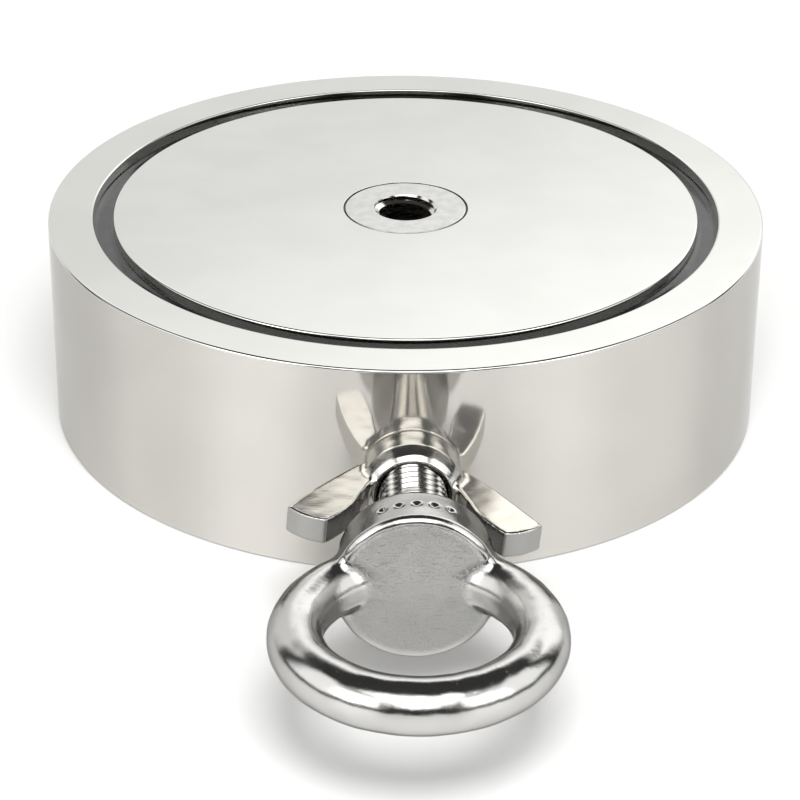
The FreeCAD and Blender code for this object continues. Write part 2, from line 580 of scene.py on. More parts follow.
def rounded_outline(corners: Sequence[Corner], closed: bool = True) -> np.ndarray:
    """Round an outline's corners, and hold each straight run flat up to its ends.

    Args:
        corners: the corners in order.
        closed: False where the outline's two ends are left open.

    Returns:
        Points of the outline, one (radius, height) a row.
    """
    points: list[np.ndarray] = []
    last = len(corners) - 1
    for index, corner in enumerate(corners):
        here = np.array((corner.radius, corner.height))
        if not closed and index in (0, last):
            points.append(here)
            continue
        before = corners[index - 1]
        after = corners[(index + 1) % len(corners)]
        back = np.array((before.radius, before.height)) - here
        ahead = np.array((after.radius, after.height)) - here
        back_length, ahead_length = np.linalg.norm(back), np.linalg.norm(ahead)
        back, ahead = back / back_length, ahead / ahead_length
        half = math.acos(float(np.clip(back @ ahead, -1, 1))) / 2
        rounding = min(corner.rounding, 0.45 * min(back_length, ahead_length) * math.tan(half))
        setback = rounding / math.tan(half)
        centre = here + (back + ahead) / np.linalg.norm(back + ahead) * rounding / math.sin(half)
        hold = min(HOLD, 0.2 * min(back_length, ahead_length))
        start, end = here + back * setback, here + ahead * setback
        points.append(start + back * hold)
        spokes = (start - centre, end - centre)
        sweep = math.pi - 2 * half
        for step in range(ROUND_STEPS + 1):
            share = step / ROUND_STEPS
            weights = math.sin((1 - share) * sweep), math.sin(share * sweep)
            points.append(centre + (spokes[0] * weights[0] + spokes[1] * weights[1])
                          / math.sin(sweep))
        points.append(end + ahead * hold)
    return np.array(points)


def lathed(name: str, outline: np.ndarray, segments: int, closed: bool = True) -> bpy.types.Mesh:
    """Turn an outline about the magnet's axis.

    Args:
        name: the mesh's name.
        outline: (radius, height) points in millimetres.
        segments: how many faces go round.
        closed: False where the outline's two ends are left open.

    Returns:
        The mesh, in metres.
    """
    angles = np.arange(segments) * TURN / segments
    rows = len(outline)
    vertices = np.empty((segments, rows, 3))
    vertices[:, :, 0] = np.cos(angles)[:, None] * outline[:, 0]
    vertices[:, :, 1] = np.sin(angles)[:, None] * outline[:, 0]
    vertices[:, :, 2] = outline[:, 1]
    faces = []
    for turn in range(segments):
        here, there = turn * rows, (turn + 1) % segments * rows
        for row in range(rows if closed else rows - 1):
            ahead = (row + 1) % rows
            faces.append((here + row, there + row, there + ahead, here + ahead))
    mesh = bpy.data.meshes.new(name)
    mesh.from_pydata(vertices.reshape(-1, 3) * MM, [], faces)
    return mesh


def tidied(mesh: bpy.types.Mesh, weld: float = 0.0) -> bpy.types.Mesh:
    """Weld a mesh's seams, turn its faces outwards and shade it smooth.

    Args:
        mesh: the mesh to tidy in place.
        weld: how close two points must be to become one, in millimetres.

    Returns:
        The same mesh.
    """
    shape = bmesh.new()
    shape.from_mesh(mesh)
    if weld:
        bmesh.ops.remove_doubles(shape, verts=shape.verts, dist=weld * MM)
    bmesh.ops.recalc_face_normals(shape, faces=shape.faces)
    shape.to_mesh(mesh)
    shape.free()
    mesh.shade_smooth()
    mesh.set_sharp_from_angle(angle=ALONG_SHARP)
    return mesh


def new_piece(name: str, mesh: bpy.types.Mesh,
              *materials: bpy.types.Material) -> bpy.types.Object:
    """Put a mesh in the scene as a named piece.

    Args:
        name: the piece's name.
        mesh: its mesh, already in place.
        materials: its materials, in the order of the faces' indices.

    Returns:
        The piece.
    """
    piece = bpy.data.objects.new(name, mesh)
    marks = np.zeros(len(mesh.polygons), np.int32)
    mesh.polygons.foreach_get("material_index", marks)
    mesh.materials.clear()
    for material in materials:
        mesh.materials.append(material)
    mesh.polygons.foreach_set("material_index", marks)
    bpy.context.scene.collection.objects.link(piece)
    return piece


def install(piece: bpy.types.Object, body: Body, slot: Slot, *nodes: str) -> bpy.types.Object:
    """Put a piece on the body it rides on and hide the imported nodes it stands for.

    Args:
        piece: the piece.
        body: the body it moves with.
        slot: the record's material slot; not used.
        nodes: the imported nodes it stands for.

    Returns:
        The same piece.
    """
    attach(piece, body.value)
    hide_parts(*nodes)
    LOG.info("%s: %d faces on %s", piece.name, len(piece.data.polygons), body.value)
    return piece


def box_mm(node: str) -> tuple[Vector, Vector]:
    """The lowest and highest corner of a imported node, in millimetres."""
    low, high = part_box(node)
    return low / MM, high / MM


def settled(piece: bpy.types.Object) -> bpy.types.Mesh:
    """Turn a piece's modifiers into plain mesh.

    Args:
        piece: a piece with modifiers.

    Returns:
        The piece's new mesh.
    """
    depsgraph = bpy.context.evaluated_depsgraph_get()
    mesh = bpy.data.meshes.new_from_object(piece.evaluated_get(depsgraph))
    piece.modifiers.clear()
    spare = piece.data
    piece.data = mesh
    bpy.data.meshes.remove(spare)
    return mesh


# ---------------------------------------------------------------------------- threads
@dataclass(frozen=True)
class Thread:
    """A helical thread made by a node tree, standing on +Z from the origin."""

    length: float
    crest: float
    root: float
    mouth: float
    pitch: float = 1.75
    segments: int = 96
    rows_per_turn: int = 16
    crest_share: float = 0.125
    root_share: float = 0.25

    def _tree(self) -> bpy.types.GeometryNodeTree:
        """Build the node tree, with a named input for each size.

        Returns:
            The node tree, which takes the place of whatever mesh it is put on.
        """
        tree = bpy.data.node_groups.new("helical_thread", "GeometryNodeTree")
        sizes = {"Length": 50.0, "Span": 51.75, "Crest": 6.0, "Root": 5.0, "Mouth": 4.9,
                 "Pitch": 1.75, "Crest Share": 0.125, "Root Share": 0.25}
        for label, value in sizes.items():
            made = tree.interface.new_socket(label, in_out="INPUT",
                                             socket_type="NodeSocketFloat")
            made.default_value = value
        for label in ("Segments", "Rows"):
            tree.interface.new_socket(label, in_out="INPUT", socket_type="NodeSocketInt")
        tree.interface.new_socket("Finish", in_out="INPUT", socket_type="NodeSocketMaterial")
        tree.interface.new_socket("Thread", in_out="OUTPUT", socket_type="NodeSocketGeometry")
        graph = Graph(tree)
        given = graph.node("NodeGroupInput").outputs
        length, span, crest, root, mouth, pitch, crest_share, root_share = (
            Value(graph, given[label]) for label in sizes)
        columns = Value(graph, given["Segments"]) + 1
        grid = graph.node("GeometryNodeMeshGrid", {},
                          {"Size X": 1.0, "Size Y": 1.0, "Vertices X": columns,
                           "Vertices Y": given["Rows"]})
        across, along, _ = graph.parts(graph.node("GeometryNodeInputPosition").outputs[0])
        turn = across + 0.5
        start = (along + 0.5) * span - pitch
        height = (start + turn * pitch).most(0.0).least(length)
        phase = graph.maths("FRACT", start / pitch + 1.0)
        off_crest = abs(phase * 2.0 - 1.0)
        ridge = 1.0 - (off_crest - crest_share) / (1.0 - crest_share - root_share)
        ridge = ridge.most(0.0).least(1.0)
        outward = graph.maths("SIGN", crest - root)
        wall = outward * (root + (crest - root) * ridge)
        wall = wall.least(outward * mouth + height)
        wall = wall.least(outward * mouth + (length - height))
        radius = wall * outward
        angle = turn * TURN
        spot = graph.joined(radius * graph.maths("COSINE", angle),
                            radius * graph.maths("SINE", angle), height)
        moved = graph.node("GeometryNodeSetPosition", {},
                           {"Geometry": grid.outputs["Mesh"], "Position": spot})
        welded = graph.node("GeometryNodeMergeByDistance", {},
                            {"Geometry": moved.outputs[0], "Distance": 0.0005})
        plain = graph.node("GeometryNodeRealizeInstances", {}, {0: welded.outputs[0]})
        dressed = graph.node("GeometryNodeSetMaterial", {},
                             {"Geometry": plain.outputs[0], "Material": given["Finish"]})
        graph.node("NodeGroupOutput", {}, {0: dressed.outputs[0]})
        return tree

    def mesh(self, finish: bpy.types.Material) -> bpy.types.Mesh:
        """Grow the thread.

        Args:
            finish: the material on its faces.

        Returns:
            The thread's open wall, in millimetres.
        """
        tree = self._tree()
        row = self.pitch / self.rows_per_turn
        rows = math.ceil((self.length + self.pitch) / row)
        carrier = new_piece("thread_blank", bpy.data.meshes.new("thread_blank"))
        modifier = carrier.modifiers.new("thread", "NODES")
        modifier.node_group = tree
        values = {"Length": self.length, "Span": rows * row, "Crest": self.crest,
                  "Root": self.root, "Mouth": self.mouth, "Pitch": self.pitch,
                  "Crest Share": self.crest_share, "Root Share": self.root_share,
                  "Segments": self.segments, "Rows": rows + 1, "Finish": finish}
        for item in tree.interface.items_tree:
            if item.in_out == "INPUT":
                modifier[item.identifier] = values[item.name]
        mesh = settled(carrier)
        bpy.data.objects.remove(carrier)
        bpy.data.node_groups.remove(tree)
        return mesh


def gathered(name: str, *meshes: bpy.types.Mesh) -> bpy.types.Mesh:
    """Join meshes into one, and drop the originals.

    Args:
        name: the new mesh's name.
        meshes: the meshes to join; their faces' material indices are kept.

    Returns:
        The joined mesh.
    """
    shape = bmesh.new()
    for mesh in meshes:
        shape.from_mesh(mesh)
        bpy.data.meshes.remove(mesh)
    joined = bpy.data.meshes.new(name)
    shape.to_mesh(joined)
    shape.free()
    return joined


# -------------------------------------------------------------------------- the magnet
@dataclass
class Casing:
    """The steel casing: rim, middle web and the side hole's mouth."""

    edge: float = 0.45
    inner_edge: float = 0.3
    web: float = 8.0
    segments: int = 512
    hole_radius: float = 6.05
    hole_mouth: float = 0.55
    hole_floor: float = 44.0

    def mesh(self) -> bpy.types.Mesh:
        """Lathe the casing and drill its side hole.

        Returns:
            The casing's mesh, with its turned wall marked as the second material.
        """
        outer, height = box_mm("casing")[1].xz
        pocket = box_mm("upper_gap_resin")[1].x
        bore = box_mm("centre_bush")[1].x + 0.02
        upper = [
            Corner(bore, self.web),
            Corner(pocket, self.web),
            Corner(pocket, height, self.inner_edge),
            Corner(outer, height, self.edge),
        ]
        lower = [Corner(c.radius, -c.height, c.rounding) for c in reversed(upper)]
        blank = tidied(lathed("casing_shell", rounded_outline(upper + lower), self.segments))
        blank = self._drilled(blank, outer)
        wall = outer - self.edge * 0.3
        for face in blank.polygons:
            x, y, z = face.center / MM
            if math.hypot(x, y) > wall and abs(z) < height - self.edge * 0.9:
                face.material_index = 1
        return blank

    def _drilled(self, blank: bpy.types.Mesh, outer: float) -> bpy.types.Mesh:
        """Cut the eyebolt's hole, with a small countersink, into the wall.

        Args:
            blank: the lathed casing; it is used up.
            outer: the casing's radius.

        Returns:
            The drilled casing's mesh.
        """
        mouth_reach = outer - self.hole_mouth
        profile = np.array([
            (0.0, self.hole_floor - self.hole_radius * 0.6),
            (self.hole_radius, self.hole_floor),
            (self.hole_radius, mouth_reach),
            (self.hole_radius + self.hole_mouth + 1.0, outer + 1.0),
            (0.0, outer + 1.0),
        ])
        tool = tidied(lathed("side_drill", profile, 96), weld=0.001)
        tool.transform(Matrix.Rotation(math.pi / 2, 4, "X"))
        drill = new_piece("side_drill", tool)
        body = new_piece("casing_blank", blank)
        cut = body.modifiers.new("side_hole", "BOOLEAN")
        cut.object, cut.operation, cut.solver = drill, "DIFFERENCE", "EXACT"
        mesh = settled(body)
        for spare in (drill, body):
            bpy.data.objects.remove(spare)
        mesh.set_sharp_from_angle(angle=ALONG_SHARP)
        return mesh

    def dress(self, finishes: Finishes) -> None:
        """Build the casing and put it on the magnet's body.

        Args:
            finishes: every finish on the object.
        """
        piece = new_piece("casing_shell", self.mesh(), finishes.rim, finishes.wall)
        install(piece, Body.MAGNET, Slot.CASING, "casing")


@dataclass
class MagnetFace:
    """One face of the magnet: its magnet ring and the resin round it."""

    side: Side
    edge: float = 0.35
    meniscus: float = 0.35
    segments: int = 384

    def _band(self, node: str, corners: Callable[[float, float, float, float],
                                                 list[Corner]], inner: float) -> bpy.types.Mesh:
        """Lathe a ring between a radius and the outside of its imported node.

        Args:
            node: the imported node.
            corners: makes the outline from its inner and outer radius and its near
                and far height.
            inner: the ring's inner radius.

        Returns:
            The ring's mesh.
        """
        low, high = box_mm(node)
        near, far = sorted((low.z, high.z), key=abs)
        outline = rounded_outline(corners(inner, high.x, near, far))
        return tidied(lathed(node, outline, self.segments))

    def _magnet(self, inner: float, outer: float, near: float, far: float) -> list[Corner]:
        """The magnet ring's corners, with its plated edge broken.

        Args:
            inner: the ring's inner radius.
            outer: its outer radius.
            near: the height of its hidden side.
            far: the height of its open side.

        Returns:
            The corners in order.
        """
        return [
            Corner(inner, near),
            Corner(outer, near),
            Corner(outer, far, self.edge),
            Corner(inner, far, 0.06),
        ]

    def _pour(self, inner: float, outer: float, near: float, far: float) -> list[Corner]:
        """A poured ring's corners: it creeps up both walls.

        Args:
            inner: the ring's inner radius.
            outer: its outer radius.
            near: the height of its hidden side.
            far: the height of its open side.

        Returns:
            The corners in order.
        """
        sag = self.meniscus * self.side.value
        width = outer - inner
        return [
            Corner(inner, near, 0.02),
            Corner(outer, near, 0.02),
            Corner(outer, far, 0.02),
            Corner(outer - width * 0.16, far - sag * 0.75, width * 0.3),
            Corner(inner + width * 0.16, far - sag, width * 0.3),
            Corner(inner, far - sag * 0.3, 0.02),
        ]

    def dress(self, finishes: Finishes) -> None:
        """Build the face's three pieces on the magnet's body, and dress its adhesive.

        Args:
            finishes: every finish on the object.
        """
        name = self.side.name.lower()
        bush = box_mm("centre_bush")[1].x
        seam = box_mm(f"{name}_seam_resin")[1].x
        edge = box_mm(f"{name}_magnet")[1].x
        rings = (
            ("magnet", "magnet_ring", self._magnet, seam, finishes.magnet, Slot.MAGNET),
            ("gap_resin", "gap_pour", self._pour, edge, finishes.resin, Slot.RESIN),
            ("seam_resin", "seam_pour", self._pour, bush, finishes.resin, Slot.RESIN),
        )
        for node, label, corners, inner, finish, slot in rings:
            mesh = self._band(f"{name}_{node}", corners, inner)
            piece = new_piece(f"{name}_{label}", mesh, finish)
            install(piece, Body.MAGNET, slot, f"{name}_{node}")
        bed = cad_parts[f"{name}_bed_adhesive"]
        bed.data.materials.clear()
        bed.data.materials.append(finishes.resin)


@dataclass
class CentreBush:
    """The threaded sleeve through the middle."""

    edge: float = 0.15
    mouth: float = 6.05
    crest: float = 5.1
    root: float = 6.02
    segments: int = 96

    def dress(self, finishes: Finishes) -> None:
        """Build the sleeve and put it on the magnet's body.

        Args:
            finishes: every finish on the object.
        """
        radius, height = box_mm("centre_bush")[1].xz
        corners = [
            Corner(self.mouth, -height),
            Corner(radius, -height, self.edge),
            Corner(radius, height, self.edge),
            Corner(self.mouth, height),
        ]
        outline = rounded_outline(corners, closed=False)
        sleeve = lathed("sleeve", outline, self.segments, closed=False)
        thread = Thread(2 * height, self.crest, self.root, self.mouth,
                        segments=self.segments).mesh(finishes.thread)
        thread.transform(Matrix.Scale(MM, 4) @ Matrix.Translation((0, 0, -height)))
        for face in thread.polygons:
            face.material_index = 1
        mesh = tidied(gathered("centre_sleeve", sleeve, thread), weld=0.002)
        piece = new_piece("centre_sleeve", mesh, finishes.bush, finishes.thread)
        install(piece, Body.MAGNET, Slot.BUSH, "centre_bush")


# ------------------------------------------------------------------- distance fields
def arc(start: Sequence[float], middle: Sequence[float], end: Sequence[float],
        steps: int = 10) -> list[tuple[float, float]]:
    """Points of the circle's arc that runs through three points.

    Args:
        start: the first point.
        middle: a point between.
        end: the last point.
        steps: how many chords it is cut into.

    Returns:
        The points, with the start and without the end.
    """
    a, b, c = (complex(*point) for point in (start, middle, end))
    ratio = (c - a) / (b - a)
    centre = (b - a) * (ratio - abs(ratio) ** 2) / (2j * ratio.imag) + a
    spoke, sweep = a - centre, np.angle((c - centre) / (a - centre))
    if sweep * np.angle((b - centre) / (a - centre)) < 0:
        sweep -= math.copysign(TURN, sweep)
    points = [centre + spoke * np.exp(1j * sweep * step / steps) for step in range(steps)]
    return [(point.real, point.imag) for point in points]


def inset(outline: Sequence[tuple[float, float]], depth: float) -> np.ndarray:
    """Move a convex or gently hollow outline's edges inwards.

    Args:
        outline: corners in order, anticlockwise.
        depth: how far each edge moves.

    Returns:
        The corners of the smaller outline.
    """
    corners = np.array(outline, float)
    ahead = np.roll(corners, -1, 0) - corners
    ahead /= np.linalg.norm(ahead, axis=1)[:, None]
    inward = np.stack((-ahead[:, 1], ahead[:, 0]), 1)
    before, inward_before = np.roll(ahead, 1, 0), np.roll(inward, 1, 0)
    shift = inward - inward_before
    cross = before[:, 0] * ahead[:, 1] - before[:, 1] * ahead[:, 0]
    slide = (shift[:, 0] * ahead[:, 1] - shift[:, 1] * ahead[:, 0]) / cross
    return corners + depth * (inward_before + before * slide[:, None])


def outline_distance(outline: np.ndarray, across: np.ndarray, along: np.ndarray) -> np.ndarray:
    """The signed distance from points of a plane to a closed outline.

    Args:
        outline: the outline's corners.
        across: the points' first coordinates.
        along: their second coordinates.

    Returns:
        Distances, negative inside.
    """
    nearest = np.full(across.shape, np.inf)
    inside = np.zeros(across.shape, bool)
    for (x0, y0), (x1, y1) in zip(outline, np.roll(outline, -1, 0)):
        run, rise = x1 - x0, y1 - y0
        share = ((across - x0) * run + (along - y0) * rise) / (run * run + rise * rise)
        share = np.clip(share, 0, 1)
        gap = (across - x0 - share * run) ** 2 + (along - y0 - share * rise) ** 2
        nearest = np.minimum(nearest, gap)
        if rise:
            crossing = x0 + (along - y0) * run / rise
            inside ^= ((y0 > along) != (y1 > along)) & (across < crossing)
    return np.where(inside, -1.0, 1.0) * np.sqrt(nearest)


def turned_field(corners: Sequence[tuple[float, float]], rounding: float) -> Distance:
    """A solid turned about the bolt's axis.

    Args:
        corners: (radius, reach) corners, anticlockwise.
        rounding: the radius of its edges.

    Returns:
        The solid's distance field.
    """
    outline = inset(corners, rounding)

    def distance(points: np.ndarray) -> np.ndarray:
        """The signed distance at each point."""
        radius = np.hypot(points[:, 0], points[:, 2])
        return outline_distance(outline, radius, -points[:, 1]) - rounding

    return distance


def plate_field(corners: Sequence[tuple[float, float]], thickness: float, rounding: float,
                side: int) -> Distance:
    """A flat plate across the bolt's axis plane.

    Args:
        corners: (offset from the axis, reach) corners, anticlockwise.
        thickness: the plate's thickness.
        rounding: the radius of its edges.
        side: 1 towards +X, -1 towards -X.

    Returns:
        The plate's distance field.
    """
    outline = inset(corners, rounding)

    def distance(points: np.ndarray) -> np.ndarray:
        """The signed distance at each point.

        Args:
            points: the points, one a row.

        Returns:
            Distances, negative inside.
        """
        flat = outline_distance(outline, side * points[:, 0], -points[:, 1])
        thick = np.abs(points[:, 2]) - (thickness / 2 - rounding)
        outside = np.hypot(np.maximum(flat, 0), np.maximum(thick, 0))
        return outside + np.minimum(np.maximum(flat, thick), 0) - rounding

    return distance


def merged_field(first: Distance, second: Distance, fillet: float) -> Distance:
    """Two solids run together with a fillet.

    Args:
        first: one solid.
        second: the other.
        fillet: how wide the blend between them is.

    Returns:
        Their distance field.
    """
    def distance(points: np.ndarray) -> np.ndarray:
        """The signed distance at each point."""
        one, other = first(points), second(points)
        near = np.maximum(fillet - np.abs(one - other), 0) / fillet
        return np.minimum(one, other) - near * near * fillet / 4

    return distance


def cut_field(solid: Distance, tool: Distance, fillet: float) -> Distance:
    """A solid with a tool's shape taken out of it.

    Args:
        solid: the solid.
        tool: what is taken away.
        fillet: how wide the softened edge of the cut is.

    Returns:
        What is left.
    """
    def distance(points: np.ndarray) -> np.ndarray:
        """The signed distance at each point."""
        one, other = solid(points), -tool(points)
        near = np.maximum(fillet - np.abs(one - other), 0) / fillet
        return np.maximum(one, other) + near * near * fillet / 4

    return distance


@dataclass(frozen=True)
class Unevenness:
    """The slow waviness that a forging or casting has: a sum of seeded waves."""

    depth: float
    shortest: float
    longest: float
    seed: int
    waves: int = 24

    def over(self, solid: Distance) -> Distance:
        """The solid with its skin made uneven.

        Args:
            solid: the solid's distance field.

        Returns:
            The uneven solid's distance field.
        """
        random = np.random.default_rng(self.seed)
        heading = random.normal(size=(self.waves, 3))
        heading /= np.linalg.norm(heading, axis=1)[:, None]
        length = random.uniform(self.shortest, self.longest, self.waves)
        phase = random.uniform(0, TURN, self.waves)
        swing = self.depth * math.sqrt(2 / self.waves)

        def distance(points: np.ndarray) -> np.ndarray:
            """The signed distance at each point."""
            wave = np.sin(points @ (heading / length[:, None]).T * TURN + phase)
            return solid(points) + swing * wave.sum(1)

        return distance


def drawn_to(solid: Distance, points: np.ndarray, rounds: int,
             reach: float = 0.01) -> np.ndarray:
    """Move points onto a solid's skin.

    Args:
        solid: the solid's distance field.
        points: points near its skin.
        rounds: how many steps they take.
        reach: how far the field's slope is felt.

    Returns:
        The moved points.
    """
    feelers = np.eye(3) * reach
    for _ in range(rounds):
        here = solid(points)
        slope = np.stack([solid(points + feeler) - here for feeler in feelers], 1) / reach
        points = points - slope * (here / np.sum(slope * slope, 1))[:, None]
    return points


def inside_grid(solid: Distance, axes: Sequence[np.ndarray], coarse: int = 4) -> np.ndarray:
    """Which points of a grid lie in a solid, felt closely only near its skin.

    Args:
        solid: the solid's distance field.
        axes: the grid's coordinates along each axis.
        coarse: how many grid steps the first look takes at once.

    Returns:
        True at the grid's points inside the solid.
    """
    def spread(lines: Sequence[np.ndarray]) -> np.ndarray:
        """The grid's points, from its coordinates along each axis."""
        return np.stack(np.meshgrid(*lines, indexing="ij"), -1)

    first = solid(spread([axis[::coarse] for axis in axes]).reshape(-1, 3))
    first = first.reshape([len(axis[::coarse]) for axis in axes])
    for way, axis in enumerate(axes):
        first = np.repeat(first, coarse, way).take(range(len(axis)), way)
    inside = first < 0
    near = np.abs(first) < (coarse + 2) * (axes[0][1] - axes[0][0])
    places = np.argwhere(near)
    points = np.stack([axis[places[:, way]] for way, axis in enumerate(axes)], 1)
    inside[near] = solid(points) < 0
    return inside


def skin(name: str, solid: Distance, low: Sequence[float], high: Sequence[float],
         pitch: float) -> bpy.types.Mesh:
    """Draw a closed mesh round a solid, one point in each grid cell that its skin crosses.

    Args:
        name: the mesh's name.
        solid: the solid's distance field, in millimetres.
        low: the grid's lowest corner.
        high: the grid's highest corner.
        pitch: the grid's spacing.

    Returns:
        The mesh, in metres.
    """
    axes = [np.arange(start, stop + pitch, pitch) for start, stop in zip(low, high)]
    inside = inside_grid(solid, axes)
    counts = inside.shape
    cells = tuple(count - 1 for count in counts)
    filled = sum(inside[i:i + cells[0], j:j + cells[1], k:k + cells[2]].astype(np.int8)
                 for i in (0, 1) for j in (0, 1) for k in (0, 1))
    crossed = (filled > 0) & (filled < 8)
    number = np.full(cells, -1)
    number[crossed] = np.arange(crossed.sum())
    points = np.array(low) + (np.argwhere(crossed) + 0.5) * pitch
    quads = []
    for axis in range(3):
        first, second = (axis + 1) % 3, (axis + 2) % 3
        start = np.take(inside, range(counts[axis] - 1), axis)
        end = np.take(inside, range(1, counts[axis]), axis)
        for leaves in (True, False):
            edges = np.argwhere((start & ~end) if leaves else (~start & end))
            keep = (edges[:, first] > 0) & (edges[:, second] > 0)
            edges = edges[keep]
            corners = []
            for back_first, back_second in ((1, 1), (0, 1), (0, 0), (1, 0)):
                cell = edges.copy()
                cell[:, first] -= back_first
                cell[:, second] -= back_second
                corners.append(number[cell[:, 0], cell[:, 1], cell[:, 2]])
            quads.append(np.stack(corners if leaves else corners[::-1], 1))
    faces = np.concatenate(quads)
    points = drawn_to(solid, points, 3)
    for _ in range(2):
        points = drawn_to(solid, evened(points, faces), 1)
    mesh = bpy.data.meshes.new(name)
    mesh.from_pydata(points * MM, [], faces.tolist())
    mesh.shade_smooth()
    return mesh


def evened(points: np.ndarray, faces: np.ndarray) -> np.ndarray:
    """Move each point halfway to the middle of the faces round it.

    Args:
        points: the mesh's points.
        faces: its faces, as rows of point numbers.

    Returns:
        The moved points.
    """
    middles = points[faces].mean(1)
    total = np.zeros_like(points)
    count = np.zeros(len(points))
    for corner in range(faces.shape[1]):
        np.add.at(total, faces[:, corner], middles)
        np.add.at(count, faces[:, corner], 1)
    return 0.5 * points + 0.5 * total / np.maximum(count, 1)[:, None]


# ------------------------------------------------------------------------- the eyebolt
@dataclass
class Eyebolt:
    """The eyebolt: a forged ring and collar on a threaded shank."""

    section: float = 4.57
    allowance: float = 0.05
    collar_back: float = 96.3
    collar_front: float = 105.9
    collar_back_radius: float = 12.85
    collar_radius: float = 13.4
    collar_front_edge: float = 1.3
    collar_rounding: float = 0.4
    fillet: float = 1.7
    ring_start: float = 100.0
    trimmed: float = 0.28
    trim_blend: float = 0.2
    dot_radius: float = 1.0
    dot_depth: float = 0.45
    dots: int = 5
    dot_spacing: float = 2.9
    dot_setback: float = 0.4
    dot_sink: float = 0.25
    pitch: float = 0.30
    turn_rows: int = 12
    turn_segments: int = 80
    crest: float = 5.85
    root: float = 4.83
    tip: float = 4.8
    sunk: float = 1.2

    def _ring(self) -> Distance:
        """The ring, with the flat inside it where the forging's flash was trimmed.

        Returns:
            The ring's distance field.
        """
        low, high = box_mm("eyebolt")
        radius = high.x - self.section - self.allowance
        reach = -low.y - high.x

        def distance(points: np.ndarray) -> np.ndarray:
            """The signed distance at each point.

            Args:
                points: the points, one a row.

            Returns:
                Distances, negative inside.
            """
            around = np.hypot(points[:, 0], points[:, 1] + reach) - radius
            bar = np.hypot(around, points[:, 2]) - self.section
            trim = self.trimmed - self.section - around
            near = np.maximum(self.trim_blend - np.abs(bar - trim), 0) / self.trim_blend
            bar = np.maximum(bar, trim) + near * near * (self.trim_blend / 4)
            return np.maximum(bar, self.ring_start + points[:, 1])

        return distance

    def _dots(self) -> Distance:
        """A row of plain punch dots on top of the collar's band.

        Returns:
            The distance field of the balls that press them in.
        """
        middle = (self.collar_back + self.collar_front) / 2 - self.dot_setback
        lift = self.collar_radius - self.dot_sink + self.dot_radius - self.dot_depth
        spread = self.dot_spacing / self.collar_radius
        turns = (np.arange(self.dots) - (self.dots - 1) / 2) * spread
        centres = np.stack((np.sin(turns) * lift, np.full(self.dots, -middle),
                            np.cos(turns) * lift), 1)

        def distance(points: np.ndarray) -> np.ndarray:
            """The signed distance at each point."""
            away = [np.linalg.norm(points - centre, axis=1) for centre in centres]
            return np.min(away, 0) - self.dot_radius

        return distance

    def head(self) -> bpy.types.Mesh:
        """Draw the ring and collar in one skin.

        Returns:
            The head's mesh.
        """
        edge, slant = self.collar_front_edge, self.collar_front_edge * (1 - math.sqrt(0.5))
        past_axis = -4.0
        collar = turned_field([
            (past_axis, self.collar_back),
            (self.collar_back_radius, self.collar_back),
            *arc((self.collar_radius, self.collar_front - edge),
                 (self.collar_radius - slant, self.collar_front - slant),
                 (self.collar_radius - edge, self.collar_front), 8),
            (self.collar_radius - edge, self.collar_front),
            (past_axis, self.collar_front),
        ], self.collar_rounding)
        forging = merged_field(collar, self._ring(), self.fillet)
        forging = Unevenness(0.018, 2.5, 9.0, seed=7).over(forging)
        forging = cut_field(forging, self._dots(), 0.2)
        low, high = box_mm("eyebolt")
        margin = 1.0
        return skin("eyebolt_head", forging,
                    (low.x - margin, low.y - margin, low.z - margin),
                    (high.x + margin, -self.collar_back + margin, high.z + margin), self.pitch)

    def shank(self, finishes: Finishes) -> bpy.types.Mesh:
        """Grow the threaded shank, closed at both ends.

        Args:
            finishes: every finish on the object.

        Returns:
            The shank's mesh.
        """
        start = -box_mm("eyebolt")[1].y
        length = self.collar_back + self.sunk - start
        thread = Thread(length, self.crest, self.root, self.tip,
                        segments=self.turn_segments, rows_per_turn=self.turn_rows)
        mesh = thread.mesh(finishes.thread)
        upright = Matrix.Translation((0, 0, start))
        mesh.transform(Matrix.Scale(MM, 4) @ Matrix.Rotation(math.pi / 2, 4, "X") @ upright)
        shape = bmesh.new()
        shape.from_mesh(mesh)
        bmesh.ops.holes_fill(shape, edges=shape.edges, sides=0)
        shape.to_mesh(mesh)
        shape.free()
        tidied(mesh)
        for face in mesh.polygons:
            face.material_index = 1
        return mesh

    def dress(self, finishes: Finishes) -> None:
        """Build the eyebolt and put it on its body.

        Args:
            finishes: every finish on the object.
        """
        mesh = gathered("eyebolt_forging", self.head(), self.shank(finishes))
        piece = new_piece("eyebolt_forging", mesh, finishes.forging, finishes.thread)
        install(piece, Body.EYEBOLT, Slot.FORGING, "eyebolt")


